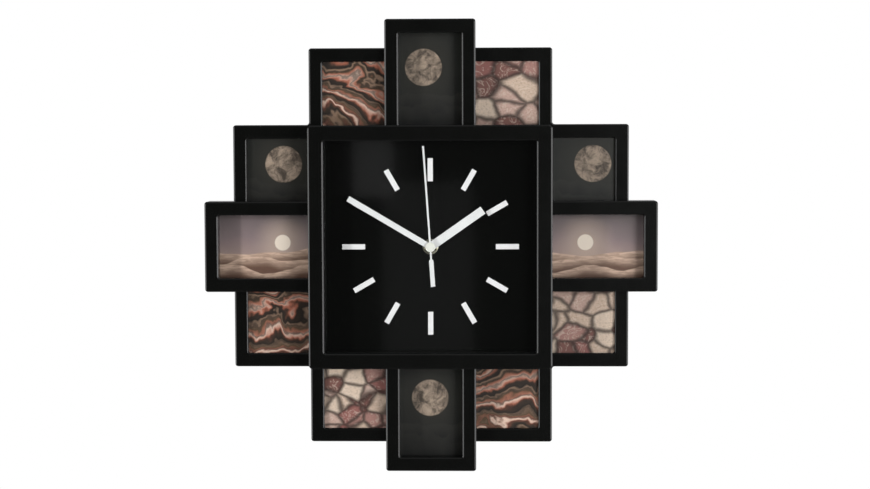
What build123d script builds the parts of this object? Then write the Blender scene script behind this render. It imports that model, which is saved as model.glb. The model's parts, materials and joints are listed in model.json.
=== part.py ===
from build123d import *
import os
from math import cos, radians, sin

# A wall clock with twelve picture frames stepped round it. It is modelled lying on its back: X to the
# right, Y up the wall, Z out of the wall. At the end each piece is stood up, so that the face looks
# along -Y and +Z is up. The origin is on the wall, on the axis of the hands. Millimetres and degrees.

# Outline, seen from the front
overall = 400.0
corner_step = 25.0
bezel_width = 214.0
bezel_shoulder = 0.5
middle_width = 80.0
picture_border = 12.0
bezel_border = 13.5
corner_round = 2.5
bezel_round = 3.5
inner_round = 2.4
window_round = 2.0
face_bevel = 1.3
window_bevel = 1.1
small_bevel = 0.6

# Heights of the faces and thickness of the mouldings
low_face = 12.0
middle_rise = 9.0
wall = 2.4
plate = 2.2
bezel_plate = 2.4

# Pictures, each held in a pocket behind its window
window_under_bezel = 1.0
ledge = 1.2
rib = 1.5
rib_height = 4.8
pocket_clearance = 0.15
cover_thickness = 1.0
print_gap = 0.1
print_thickness = 0.3
back_plate = 1.6
back_rim = 1.4
back_rim_height = 1.4
tab_length = 14.0
tab_thickness = 2.0
tab_height = 3.2

# Clock unit: lens, tray, dial and hour markers
lens_thickness = 1.5
lens_lap = 2.0
skirt = 2.2
slip = 0.2
tray_floor = 2.0
tray_rib = 1.5
tray_rib_height = 4.0
flange = 2.0
flange_gap = 0.3
dial_thickness = 0.6
marker_inner = 57.7
marker_outer = 78.0
marker_width = 4.6
marker_height = 0.8
hand_room = 11.1

# Screws that clamp bezel, surround and tray together
screw_radius = 1.4
screw_head_radius = 2.8
screw_head_height = 1.6
screw_grip = 8.0
screw_clearance = 0.2

# Keyhole hanger on the tray's back
hanger_height = 66.0
hanger_width = 24.0
hanger_length = 34.0
hanger_wall = 2.0
hanger_gap = 1.0
keyhole_radius = 4.5
keyhole_slot = 4.4
keyhole_rise = 13.0

# Quartz movement
case_round = 3.0
case_wall = 1.2
case_front = 1.3
case_rear = 3.6
cover_plate = 1.2
cover_lip = 1.0
cover_lip_height = 1.2
gasket = 0.5
gasket_margin = 2.0
bush_radius = 3.9
bush_end = 0.7
washer_radius = 6.85
washer_thickness = 0.5
nut_flats = 10.5
nut_height = 1.8
running = 0.06
battery_radius = 7.25
battery_length = 49.2
battery_nub_radius = 2.7
battery_nub = 1.3
battery_gap = 0.2
wall_gap = 0.9
contact_sheet = 0.4
contact_width = 9.0
contact_gap = 0.05
contact_room = 0.9

# Arbors and pipes
arbor_radius = 0.4
centre_arbor_radius = 0.5
minute_pipe_radius = 1.4
hour_pipe_radius = 2.3
pivot_depth = 0.7

# Gear train: teeth and leaves, modules, and the spacing of the wheels along their axes
rotor_leaves = 6
intermediate_teeth = 36
intermediate_leaves = 6
seconds_teeth = 30
seconds_leaves = 6
third_teeth = 48
third_leaves = 6
centre_teeth = 45
cannon_leaves = 8
minute_teeth = 24
minute_leaves = 8
hour_teeth = 32
rotor_module = 0.27
seconds_module = 0.4
third_module = 0.27
motion_module = 0.46
wheel_thickness = 0.7
leaf_lap = 0.4
layer_gap = 0.2
rotor_direction = 135.0
minute_direction = 90.0
tooth_addendum = 0.85
tooth_dedendum = 1.15
tooth_root_share = 0.56
tooth_tip_share = 0.16
magnet_radius = 2.5
magnet_gap = 0.4

# Stepping motor and circuit
stator_thickness = 0.8
stator_bar = 3.0
stator_pad = 1.6
coil_radius = 2.6
coil_flange_radius = 3.3
coil_flange = 0.8
coil_clearance = 0.1
coil_length = 16.0
coil_side_room = 1.6
coil_head_room = 7.8
post_radius = 1.2
board_width = 20.0
board_height = 12.0
board_thickness = 0.8
board_side_room = 3.8
board_head_room = 0.8
board_depth = 2.8

# Setting knob
knob_teeth = 24
knob_module = 0.36
knob_thickness = 1.6
knob_gap = 0.2

# Hands: thickness, gaps and outlines
hand_sheet = 0.6
hand_gap = 0.5
hand_step = 0.9
hour_hand_length = 56.5
hour_hand_width = 7.4
minute_hand_length = 84.0
minute_hand_width = 5.1
second_hand_length = 89.0
second_hand_width = 1.6
second_hub_radius = 1.9
second_tail = 35.0
second_weight_width = 3.85
second_weight_length = 24.0
hour_angle = 55.05
minute_angle = 300.6
second_angle = 356.1

# Heights that follow from the stack, from the wall outward
photo_seat = low_face - plate
middle_face = low_face + middle_rise
rib_back = photo_seat - rib_height
cover_rear = photo_seat - cover_thickness
print_face = cover_rear - print_gap
print_rear = print_face - print_thickness
bay_front = wall_gap + 2 * battery_radius + battery_gap
case_face = bay_front + case_front
tray_back = case_face + gasket
dial_seat = tray_back + tray_floor
dial_face = dial_seat + dial_thickness
nut_seat = dial_face + washer_thickness
nut_face = nut_seat + nut_height
bush_face = nut_face + bush_end
lens_rear = dial_face + hand_room
lens_face = lens_rear + lens_thickness
bezel_face = lens_face + bezel_plate
flange_rear = photo_seat - flange
hour_hand_rear = bush_face + hand_gap
minute_hand_rear = hour_hand_rear + hand_sheet + hand_step
second_hand_rear = minute_hand_rear + hand_sheet + hand_step

# Half sizes that follow from the outline
corner_reach = overall - 2 * corner_step
block_half = bezel_width / 2 + bezel_shoulder
window_end = bezel_width / 2 - window_under_bezel
dial_window = bezel_width / 2 - bezel_border
lens_half = dial_window + lens_lap
skirt_inner = lens_half + slip
skirt_outer = skirt_inner + skirt
opening_half = skirt_outer + slip
flange_half = window_end - ledge - rib - flange_gap
boss_place = (skirt_outer + bezel_width / 2 - wall) / 2
boss_radius = (bezel_width / 2 - wall - skirt_outer) / 2 + slip
ear_radius = screw_head_radius + slip * 2
case_inner = battery_length / 2 + battery_nub + contact_room
case_size = 2 * (case_inner + case_wall)
bay_low = -case_inner
bay_high = bay_low + 2 * battery_radius + 2 * battery_gap
chamber_low = bay_high + case_wall
battery_axis = bay_low + battery_radius + battery_gap
battery_depth = wall_gap + battery_radius
coil_place = -case_inner + coil_side_room + stator_bar + slip + coil_length / 2
coil_height = case_inner - coil_head_room
board_place = (
    case_inner - board_side_room - board_width / 2,
    case_inner - board_head_room - board_height / 2,
)

# Gear centres
third_reach = third_module * (seconds_leaves + third_teeth) / 2
centre_module = 2 * third_reach / (third_leaves + centre_teeth)
minute_reach = motion_module * (cannon_leaves + minute_teeth) / 2
hour_module = 2 * minute_reach / (minute_leaves + hour_teeth)
third_place = (third_reach, 0.0)
intermediate_place = (-seconds_module * (intermediate_leaves + seconds_teeth) / 2, 0.0)
rotor_reach = rotor_module * (rotor_leaves + intermediate_teeth) / 2
rotor_place = (
    intermediate_place[0] + rotor_reach * cos(radians(rotor_direction)),
    intermediate_place[1] + rotor_reach * sin(radians(rotor_direction)),
)
minute_place = (0.0, minute_reach)

# Wheels lie one above the other; each pinion laps its wheel's mate by the same amount at both ends
wheel_pitch = wheel_thickness + layer_gap + leaf_lap
intermediate_rear = case_rear + leaf_lap + layer_gap * 2
seconds_rear = intermediate_rear + wheel_pitch
third_rear = seconds_rear + wheel_pitch
centre_rear = third_rear + wheel_pitch
minute_rear = centre_rear + wheel_thickness + layer_gap * 2 + leaf_lap
hour_rear = minute_rear + wheel_pitch
stator_rear = third_rear - layer_gap
hour_boss_rear = hour_rear + wheel_thickness + layer_gap


def layer(sketch, rear, front):
    """A flat outline made solid between two heights above the wall."""
    return extrude(Pos(0, 0, rear) * sketch, front - rear, dir=(0, 0, 1))


def rod(radius, rear, front, place=(0.0, 0.0)):
    """A round bar that stands out of the wall."""
    return layer(Pos(place[0], place[1]) * Circle(radius), rear, front)


def span(low_x, low_y, high_x, high_y):
    """A rectangle between two corners."""
    centre = Pos((low_x + high_x) / 2, (low_y + high_y) / 2)
    return centre * Rectangle(high_x - low_x, high_y - low_y)


def turned(window, side):
    """The corners of a rectangle of the top side, some quarter turns clockwise from there."""
    low_x, low_y, high_x, high_y = window
    for _ in range(side):
        low_x, low_y, high_x, high_y = low_y, -high_x, high_y, -low_x
    return low_x, low_y, high_x, high_y


def bevel_front(piece, width):
    """Bevels the outer edge of the foremost face."""
    face = piece.faces().sort_by(Axis.Z)[-1]
    return chamfer(face.outer_wire().edges(), width)


# Windows of the top side, as low and high corners; the other sides repeat them
left_window = (
    -block_half + picture_border,
    window_end,
    -middle_width / 2,
    corner_reach / 2 - picture_border,
)
middle_window = (
    -middle_width / 2 + picture_border,
    window_end,
    middle_width / 2 - picture_border,
    overall / 2 - picture_border,
)
right_window = (-left_window[2], left_window[1], -left_window[0], left_window[3])

side_names = [
    ("top_left", "top", "top_right"),
    ("right_upper", "right", "right_lower"),
    ("bottom_right", "bottom", "bottom_left"),
    ("left_lower", "left", "left_upper"),
]
low_windows = {}
middle_windows = {}
for side, (first, middle, last) in enumerate(side_names):
    low_windows[first] = turned(left_window, side)
    middle_windows[middle] = turned(middle_window, side)
    low_windows[last] = turned(right_window, side)
windows = {**low_windows, **middle_windows}


def grown(window, margin):
    """A window's rectangle with a margin all round."""
    low_x, low_y, high_x, high_y = window
    return span(low_x - margin, low_y - margin, high_x + margin, high_y + margin)


def window_opening(window):
    """The cut for a window, with small radii at the outer corners, clear of bezel and neighbours."""
    outline = grown(window, 0)
    farthest = max(abs(v.X) + abs(v.Y) for v in outline.vertices())
    outer = [v for v in outline.vertices() if abs(v.X) + abs(v.Y) > farthest - slip]
    return fillet(outer, window_round)


def bevel_cut(opening, face):
    """The cut that bevels an opening's front edge at 45 degrees, up to the given face."""
    return extrude(Pos(0, 0, face - window_bevel) * opening, window_bevel, dir=(0, 0, 1), taper=-45)


def surround_outline():
    """Outer edge of the twelve frames: two crossed bands, and two longer ones for the middle frames."""
    bands = Rectangle(2 * block_half, corner_reach) + Rectangle(corner_reach, 2 * block_half)
    bands += Rectangle(middle_width, overall) + Rectangle(overall, middle_width)
    outer = [
        v
        for v in bands.vertices()
        if max(abs(v.X), abs(v.Y)) > overall / 2 - slip
        or abs(max(abs(v.X), abs(v.Y)) - corner_reach / 2) < slip
        and min(abs(v.X), abs(v.Y)) > middle_width / 2 + slip
    ]
    bands = fillet(outer, corner_round)
    inner = [
        v
        for v in bands.vertices()
        if abs(abs(v.X) - block_half) < slip and abs(abs(v.Y) - block_half) < slip
    ]
    return fillet(inner, inner_round)


def middle_block(side):
    """The raised box of a middle frame, from under the bezel's side to the outer edge."""
    box = (-middle_width / 2, bezel_width / 2 - wall, middle_width / 2, overall / 2)
    outline = span(*turned(box, side))
    outer = sorted(outline.vertices(), key=lambda v: max(abs(v.X), abs(v.Y)))[-2:]
    return bevel_front(layer(fillet(outer, corner_round), 0, middle_face), face_bevel)


def photo_surround():
    body = bevel_front(layer(surround_outline(), 0, low_face), face_bevel)
    for window in low_windows.values():
        body -= bevel_cut(window_opening(window), low_face)
    for side in range(4):
        body += middle_block(side)
    for window in middle_windows.values():
        body -= bevel_cut(window_opening(window), middle_face)
    inner = 2 * wall
    hollow = Rectangle(2 * block_half - inner, corner_reach - inner)
    hollow += Rectangle(corner_reach - inner, 2 * block_half - inner)
    hollow += Rectangle(middle_width - inner, overall - inner)
    hollow += Rectangle(overall - inner, middle_width - inner)
    body -= layer(hollow, 0, photo_seat)
    rise = (-middle_width / 2 + wall, bezel_width / 2 + wall, middle_width / 2 - wall, overall / 2 - wall)
    for side in range(4):
        body -= layer(span(*turned(rise, side)), 0, middle_face - plate)
    for window in low_windows.values():
        body += layer(grown(window, ledge + rib), rib_back, photo_seat + plate / 2)
    for window in middle_windows.values():
        body += layer(grown(window, ledge + rib), rib_back, middle_face - plate / 2)
    body -= layer(Rectangle(bezel_width, bezel_width), low_face, middle_face)
    for window in windows.values():
        body -= layer(grown(window, ledge), 0, photo_seat)
        body -= layer(window_opening(window), 0, middle_face)
    body -= layer(Rectangle(2 * opening_half, 2 * opening_half), 0, low_face)
    for hole in screw_rods(screw_radius + screw_clearance, 0, low_face):
        body -= hole
    return body


def screw_rods(radius, rear, front):
    """Round bars on the four screw axes."""
    ends = (-boss_place, boss_place)
    return [rod(radius, rear, front, (x, y)) for x in ends for y in ends]


def clock_bezel():
    outline = Rectangle(bezel_width, bezel_width)
    outline = fillet(outline.vertices(), bezel_round)
    body = bevel_front(layer(outline, low_face, bezel_face), face_bevel)
    body -= layer(Rectangle(bezel_width - 2 * wall, bezel_width - 2 * wall), low_face, lens_face)
    ring = Rectangle(2 * skirt_outer, 2 * skirt_outer) - Rectangle(2 * skirt_inner, 2 * skirt_inner)
    body += layer(ring, photo_seat + slip, lens_face)
    for boss in screw_rods(boss_radius, low_face, lens_face):
        body += boss
    for pilot in screw_rods(screw_radius + running, low_face, low_face + screw_grip + slip):
        body -= pilot
    body -= layer(Rectangle(2 * lens_half + 2 * slip, 2 * lens_half + 2 * slip), 0, lens_face)
    window = fillet(Rectangle(2 * dial_window, 2 * dial_window).vertices(), window_round)
    body -= layer(window, lens_face, bezel_face)
    return body - bevel_cut(window, bezel_face)


def clock_lens():
    return layer(Rectangle(2 * lens_half, 2 * lens_half), lens_rear, lens_face)


def back_case():
    rim_outer = Rectangle(2 * lens_half, 2 * lens_half)
    rim_inner = Rectangle(2 * dial_window, 2 * dial_window)
    body = layer(rim_outer - rim_inner, flange_rear, lens_rear)
    body += layer(rim_outer, tray_back, dial_seat)
    lip = Rectangle(2 * flange_half, 2 * flange_half) - rim_inner
    body += layer(lip, flange_rear, photo_seat)
    for ear in screw_rods(ear_radius, flange_rear, photo_seat):
        body += ear
    seat_inner = case_size / 2 + slip
    seat_outer = seat_inner + tray_rib
    seat = Rectangle(2 * seat_outer, 2 * seat_outer) - Rectangle(2 * seat_inner, 2 * seat_inner)
    body += layer(seat, tray_back - tray_rib_height, tray_back)
    for low, high in ((-dial_window, -seat_inner), (seat_inner, dial_window)):
        for y in (-seat_inner, seat_inner):
            stiffener = span(low, y - tray_rib / 2, high, y + tray_rib / 2)
            body += layer(stiffener, tray_back - tray_rib_height, tray_back)
    body += hanger_box()
    body -= rod(bush_radius + slip, tray_back, dial_seat)
    for hole in screw_rods(screw_radius + screw_clearance, flange_rear, photo_seat):
        body -= hole
    return body


def hanger_box():
    """A hollow box on the tray's back whose rear plate has the keyhole."""
    centre = Pos(0, hanger_height + keyhole_rise / 2)
    outer = Rectangle(hanger_width, hanger_length)
    inner = Rectangle(hanger_width - 2 * hanger_wall, hanger_length - 2 * hanger_wall)
    box = layer(centre * outer, hanger_gap, tray_back)
    box -= layer(centre * inner, hanger_gap + hanger_wall, tray_back)
    slot = span(-keyhole_slot / 2, hanger_height, keyhole_slot / 2, hanger_height + keyhole_rise)
    key = Pos(0, hanger_height) * Circle(keyhole_radius) + slot
    key += Pos(0, hanger_height + keyhole_rise) * Circle(keyhole_slot / 2)
    return box - layer(key, hanger_gap, hanger_gap + hanger_wall)


def dial():
    sheet = Rectangle(2 * (dial_window - slip), 2 * (dial_window - slip)) - Circle(bush_radius + slip)
    return layer(sheet, dial_seat, dial_face)


def hour_markers():
    baton = span(-marker_width / 2, marker_inner, marker_width / 2, marker_outer)
    turns = [Rot(0, 0, -30 * hour) for hour in range(12)]
    return [layer(turn * baton, dial_face, dial_face + marker_height) for turn in turns]


def case_screws():
    shanks = screw_rods(screw_radius, flange_rear, low_face + screw_grip)
    heads = screw_rods(screw_head_radius, flange_rear - screw_head_height, flange_rear)
    return [shank + head for shank, head in zip(shanks, heads)]


def photo_cover(window):
    return layer(grown(window, ledge - pocket_clearance), cover_rear, photo_seat)


def photo_print(window):
    return layer(grown(window, ledge - pocket_clearance), print_rear, print_face)


def photo_back(window):
    """Push-in back: a plate with a stiffening rim and a tab to pull it out by."""
    outer = grown(window, ledge - pocket_clearance)
    inner = grown(window, ledge - pocket_clearance - back_rim)
    plate_rear = print_rear - back_plate
    body = layer(outer, plate_rear, print_rear)
    body += layer(outer - inner, plate_rear - back_rim_height, plate_rear)
    middle = Pos((window[0] + window[2]) / 2, (window[1] + window[3]) / 2)
    tab = layer(middle * Rectangle(tab_length, tab_thickness), plate_rear - tab_height, plate_rear)
    return body + tab


def polar(radius, angle):
    return (radius * cos(radians(angle)), radius * sin(radians(angle)))


def gear_outline(teeth, module, tooth_at):
    """Straight-flanked clock teeth, with one tooth centred at the given angle."""
    tip = module * (teeth / 2 + tooth_addendum)
    root = module * (teeth / 2 - tooth_dedendum)
    pitch = 360 / teeth
    flank = [
        (root, -tooth_root_share / 2),
        (tip, -tooth_tip_share / 2),
        (tip, tooth_tip_share / 2),
        (root, tooth_root_share / 2),
    ]
    points = []
    for tooth in range(teeth):
        for radius, share in flank:
            points.append(polar(radius, tooth_at + pitch * (tooth + share)))
    return make_face(Polyline(*points, close=True))


def wheel(teeth, module, rear, gap_at, place=(0.0, 0.0)):
    """A wheel with a gap between two teeth at the given angle, where its pinion's leaf comes."""
    outline = gear_outline(teeth, module, gap_at + 180 / teeth)
    return layer(Pos(*place) * outline, rear, rear + wheel_thickness)


def pinion(leaves, module, mate_rear, leaf_at, place=(0.0, 0.0)):
    """A pinion as long as its mate is thick, with a lap at both ends and a leaf at the given angle."""
    outline = gear_outline(leaves, module, leaf_at)
    return layer(Pos(*place) * outline, mate_rear - leaf_lap, mate_rear + wheel_thickness + leaf_lap)


def rotor():
    body = pinion(rotor_leaves, rotor_module, intermediate_rear, rotor_direction - 180, rotor_place)
    body += rod(magnet_radius, stator_rear, stator_rear + stator_thickness, rotor_place)
    return body + rod(arbor_radius, case_rear - pivot_depth, bay_front + pivot_depth, rotor_place)


def intermediate_wheel():
    body = wheel(intermediate_teeth, rotor_module, intermediate_rear, rotor_direction, intermediate_place)
    body += pinion(intermediate_leaves, seconds_module, seconds_rear, 0, intermediate_place)
    body += rod(arbor_radius, case_rear - pivot_depth, bay_front + pivot_depth, intermediate_place)
    return body


def seconds_wheel():
    body = wheel(seconds_teeth, seconds_module, seconds_rear, 180)
    body += pinion(seconds_leaves, third_module, third_rear, 0)
    return body + rod(centre_arbor_radius, case_rear - pivot_depth, second_hand_rear)


def third_wheel():
    body = wheel(third_teeth, third_module, third_rear, 180, third_place)
    body += pinion(third_leaves, centre_module, centre_rear, 180, third_place)
    return body + rod(arbor_radius, case_rear - pivot_depth, bay_front + pivot_depth, third_place)


def centre_wheel():
    body = wheel(centre_teeth, centre_module, centre_rear, 0)
    return body - rod(minute_pipe_radius + running, centre_rear, centre_rear + wheel_thickness)


def minute_pipe():
    body = rod(minute_pipe_radius, centre_rear - layer_gap / 2, minute_hand_rear + hand_sheet)
    body += pinion(cannon_leaves, motion_module, minute_rear, minute_direction)
    return body - rod(centre_arbor_radius + running, 0, bezel_face)


def minute_wheel():
    body = wheel(minute_teeth, motion_module, minute_rear, minute_direction - 180, minute_place)
    body += pinion(minute_leaves, hour_module, hour_rear, minute_direction - 180, minute_place)
    knob_rear = case_rear - cover_plate - knob_gap - knob_thickness
    return body + rod(centre_arbor_radius, knob_rear, bay_front + pivot_depth, minute_place)


def hour_wheel():
    body = wheel(hour_teeth, hour_module, hour_rear, minute_direction)
    body += rod(hour_pipe_radius, hour_rear, hour_hand_rear + hand_sheet)
    return body - rod(minute_pipe_radius + running, 0, bezel_face)


def setting_knob():
    front = case_rear - cover_plate - knob_gap
    outline = Pos(*minute_place) * (gear_outline(knob_teeth, knob_module, 0) - Circle(centre_arbor_radius))
    return layer(outline, front - knob_thickness, front)


def movement_case():
    shell = fillet(Rectangle(case_size, case_size).vertices(), case_round)
    body = layer(shell, case_rear, case_face)
    body -= layer(span(-case_inner, chamber_low, case_inner, case_inner), case_rear, bay_front)
    body -= layer(span(-case_inner, bay_low, case_inner, bay_high), case_rear, bay_front)
    body += rod(bush_radius, hour_boss_rear, bush_face)
    body -= rod(hour_pipe_radius + running, hour_boss_rear, bush_face)
    for place in (third_place, intermediate_place, rotor_place):
        body -= rod(arbor_radius + running, bay_front, bay_front + pivot_depth + running, place)
    body -= rod(centre_arbor_radius + running, bay_front, bay_front + pivot_depth + running, minute_place)
    for place in stator_posts():
        body += rod(post_radius, stator_rear + stator_thickness, bay_front, place)
    for place in board_posts():
        body += rod(post_radius, bay_front - board_depth, bay_front, place)
    return body


def movement_cover():
    """Rear cover over the gears; the battery bay beside it stays open."""
    plate_outline = span(-case_size / 2, chamber_low - case_wall, case_size / 2, case_size / 2)
    plate_outline = fillet(plate_outline.vertices().sort_by(Axis.Y)[-2:], case_round)
    body = layer(plate_outline, case_rear - cover_plate, case_rear)
    side = case_inner - slip / 2
    low = chamber_low + slip / 2
    lip = span(-side, low, side, side)
    lip -= span(-side + cover_lip, low + cover_lip, side - cover_lip, side - cover_lip)
    body += layer(lip, case_rear, case_rear + cover_lip_height)
    for place in (third_place, intermediate_place, rotor_place):
        body -= rod(arbor_radius + running, case_rear - pivot_depth - running, case_rear, place)
    body -= rod(centre_arbor_radius + running, case_rear - pivot_depth - running, case_rear)
    return body - rod(centre_arbor_radius + running, case_rear - cover_plate, case_rear, minute_place)


def stator_posts():
    leg = coil_length / 2 + stator_bar / 2 + slip
    return [(coil_place - leg, coil_height), (coil_place + leg, coil_height)]


def stator():
    """Soft iron ring: a core through the coil, two legs, and a bar with the rotor's pole hole."""
    legs = [place[0] for place in stator_posts()]
    low = rotor_place[1] - stator_bar / 2
    high = coil_height + stator_bar / 2
    ring = span(legs[0] - stator_bar / 2, low, legs[1] + stator_bar / 2, high)
    ring -= span(legs[0] + stator_bar / 2, low + stator_bar, legs[1] - stator_bar / 2, high - stator_bar)
    ring += Pos(*rotor_place) * Circle(magnet_radius + magnet_gap + stator_pad)
    ring -= Pos(*rotor_place) * Circle(magnet_radius + magnet_gap)
    return layer(ring, stator_rear, stator_rear + stator_thickness)


def drive_coil():
    """Wound bobbin on the stator's core."""
    axis = stator_rear + stator_thickness / 2
    along = Pos(coil_place, coil_height, axis) * Rot(0, 90, 0)
    body = along * Cylinder(coil_radius, coil_length)
    for end in (-1, 1):
        place = coil_place + end * (coil_length - coil_flange) / 2
        body += Pos(place, coil_height, axis) * Rot(0, 90, 0) * Cylinder(coil_flange_radius, coil_flange)
    core = Box(coil_length, stator_bar + 2 * coil_clearance, stator_thickness + 2 * coil_clearance)
    return body - Pos(coil_place, coil_height, axis) * core


def board_posts():
    inset = board_width / 2 - 2 * post_radius
    rise = board_height / 2 - 2 * post_radius
    height = board_place[1] + rise
    return [(board_place[0] - inset, height), (board_place[0] + inset, height)]


def circuit_board():
    front = bay_front - board_depth
    rear = front - board_thickness
    body = layer(Pos(*board_place) * Rectangle(board_width, board_height), rear, front)
    middle = Pos(*board_place)
    chip = middle * Pos(-board_width / 4, 0) * Circle(board_height / 4)
    body += layer(chip, rear - board_thickness, rear)
    crystal = middle * Pos(board_width / 4, 0) * Rectangle(board_width / 3, board_height / 5)
    return body + layer(crystal, rear - 2 * board_thickness, rear)


def battery():
    axis = Pos(0, battery_axis, battery_depth) * Rot(0, 90, 0)
    can = axis * Cylinder(battery_radius, battery_length)
    can = chamfer(can.edges(), small_bevel)
    nub = Pos((battery_length + battery_nub) / 2, battery_axis, battery_depth) * Rot(0, 90, 0)
    return can + nub * Cylinder(battery_nub_radius, battery_nub)


def battery_contacts():
    """A flat contact with a round boss at the nub, and a bowed leaf at the plain end."""
    low = battery_axis - contact_width / 2
    high = battery_axis + contact_width / 2
    nub_end = battery_length / 2 + battery_nub + contact_gap
    front_plate = layer(span(case_inner - contact_sheet, low, case_inner, high), case_rear, bay_front)
    boss_length = case_inner - contact_sheet - nub_end
    boss_middle = nub_end + boss_length / 2
    boss = Pos(boss_middle, battery_axis, battery_depth) * Rot(0, 90, 0)
    front_plate += boss * Cylinder(battery_nub_radius, boss_length)
    rear_plate = layer(span(-case_inner, low, -case_inner + contact_sheet, high), case_rear, bay_front)
    foot = -case_inner + contact_sheet
    crest = -battery_length / 2 - contact_gap
    bow = contact_width / 2
    inner_bow = bow - contact_sheet
    outer = ThreePointArc((foot, -bow), (crest, 0), (foot, bow))
    inner = ThreePointArc((foot, inner_bow), (crest - contact_sheet, 0), (foot, -inner_bow))
    top = Line((foot, bow), (foot, inner_bow))
    bottom = Line((foot, -inner_bow), (foot, -bow))
    leaf = make_face(Curve() + [outer, top, inner, bottom])
    strip = Pos(0, low, battery_depth) * Rot(-90, 0, 0) * extrude(leaf, contact_width, dir=(0, 0, 1))
    return [front_plate, rear_plate + strip]


def rubber_gasket():
    side = case_size - 2 * gasket_margin
    return layer(Rectangle(side, side) - Circle(bush_radius + slip), case_face, tray_back)


def mounting_washer():
    return layer(Circle(washer_radius) - Circle(bush_radius + slip), dial_face, nut_seat)


def mounting_nut():
    hexagon = RegularPolygon(nut_flats / 2, 6, major_radius=False) - Circle(bush_radius + running)
    return layer(hexagon, nut_seat, nut_face)


def hand_blade(length, width):
    """A straight hand with a round hub end, as wide as the blade."""
    return span(-width / 2, 0, width / 2, length) + Circle(width / 2)


def hour_hand():
    outline = hand_blade(hour_hand_length, hour_hand_width) - Circle(hour_pipe_radius + running)
    return Rot(0, 0, -hour_angle) * layer(outline, hour_hand_rear, hour_hand_rear + hand_sheet)


def minute_hand():
    outline = hand_blade(minute_hand_length, minute_hand_width) - Circle(minute_pipe_radius + running)
    return Rot(0, 0, -minute_angle) * layer(outline, minute_hand_rear, minute_hand_rear + hand_sheet)


def second_hand():
    """A needle with a round hub, a socket on the arbor and a long counterweight."""
    weight_half = second_weight_width / 2
    weight = span(-weight_half, -second_tail, weight_half, second_weight_length - second_tail)
    weight = fillet(weight.vertices().sort_by(Axis.Y)[-2:], weight_half - small_bevel)
    outline = span(-second_hand_width / 2, -second_tail, second_hand_width / 2, second_hand_length)
    outline += Circle(second_hub_radius) + weight
    body = layer(outline, second_hand_rear, second_hand_rear + hand_sheet)
    socket = rod(second_hub_radius - hand_gap, second_hand_rear - hand_step / 2, second_hand_rear)
    body += socket - rod(centre_arbor_radius, second_hand_rear - hand_step / 2, second_hand_rear)
    return Rot(0, 0, -second_angle) * body


nodes = {
    "photo_surround": photo_surround(),
    "clock_bezel": clock_bezel(),
    "clock_lens": clock_lens(),
    "back_case": back_case(),
    "dial": dial(),
    "hour_markers": hour_markers(),
    "case_screws": case_screws(),
    "movement_case": movement_case(),
    "movement_cover": movement_cover(),
    "rubber_gasket": rubber_gasket(),
    "mounting_washer": mounting_washer(),
    "mounting_nut": mounting_nut(),
    "battery": battery(),
    "battery_contacts": battery_contacts(),
    "circuit_board": circuit_board(),
    "drive_coil": drive_coil(),
    "stator": stator(),
    "rotor": rotor(),
    "intermediate_wheel": intermediate_wheel(),
    "seconds_wheel": seconds_wheel(),
    "third_wheel": third_wheel(),
    "centre_wheel": centre_wheel(),
    "minute_pipe": minute_pipe(),
    "minute_wheel": minute_wheel(),
    "hour_wheel": hour_wheel(),
    "setting_knob": setting_knob(),
    "hour_hand": hour_hand(),
    "minute_hand": minute_hand(),
    "second_hand": second_hand(),
    "square_photo_covers": [photo_cover(window) for window in low_windows.values()],
    "oblong_photo_covers": [photo_cover(window) for window in middle_windows.values()],
}
for name, window in windows.items():
    nodes["print_" + name] = photo_print(window)
    nodes["photo_back_" + name] = photo_back(window)

stand_up = Rot(90, 0, 0)
os.makedirs("parts", exist_ok=True)
for name, piece in nodes.items():
    if isinstance(piece, list):
        standing = Compound([(stand_up * solid).solid() for solid in piece])
    else:
        standing = stand_up * piece
    export_step(standing, os.path.join("parts", name + ".step"))
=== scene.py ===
"""Finishes, pictures, light and camera for a black wall clock ringed by twelve picture frames."""

import json
import math

import bmesh
import bpy
from bpy.props import FloatProperty, FloatVectorProperty, PointerProperty
from mathutils import Matrix, Quaternion, Vector

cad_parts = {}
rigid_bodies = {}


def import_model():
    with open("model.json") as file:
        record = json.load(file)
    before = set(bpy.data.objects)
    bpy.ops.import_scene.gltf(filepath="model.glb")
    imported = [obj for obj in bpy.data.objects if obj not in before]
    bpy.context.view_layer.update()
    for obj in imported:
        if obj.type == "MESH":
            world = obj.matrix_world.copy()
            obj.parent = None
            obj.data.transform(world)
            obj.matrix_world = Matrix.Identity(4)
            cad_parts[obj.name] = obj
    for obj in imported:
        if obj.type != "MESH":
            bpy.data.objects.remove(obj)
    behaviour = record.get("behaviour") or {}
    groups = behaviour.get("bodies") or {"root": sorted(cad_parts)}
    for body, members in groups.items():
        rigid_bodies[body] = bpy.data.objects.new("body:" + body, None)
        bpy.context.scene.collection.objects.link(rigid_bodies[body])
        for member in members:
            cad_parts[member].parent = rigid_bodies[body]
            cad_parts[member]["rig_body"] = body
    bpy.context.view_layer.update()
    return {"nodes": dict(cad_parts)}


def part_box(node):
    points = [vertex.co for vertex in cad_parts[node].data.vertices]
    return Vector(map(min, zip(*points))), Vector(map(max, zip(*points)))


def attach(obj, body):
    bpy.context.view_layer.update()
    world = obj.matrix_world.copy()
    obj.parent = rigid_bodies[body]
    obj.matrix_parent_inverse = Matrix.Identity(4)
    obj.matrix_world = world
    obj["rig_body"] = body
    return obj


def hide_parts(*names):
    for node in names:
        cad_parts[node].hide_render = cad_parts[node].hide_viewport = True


bl_info = {
    "name": "Photo frame clock",
    "version": (1, 0, 0),
    "blender": (4, 5, 0),
    "location": "View3D > Sidebar > Clock",
    "description": "Dresses the packed photo frame clock and sets up its studio",
    "category": "Object",
}

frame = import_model()
nodes = frame["nodes"]

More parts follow.
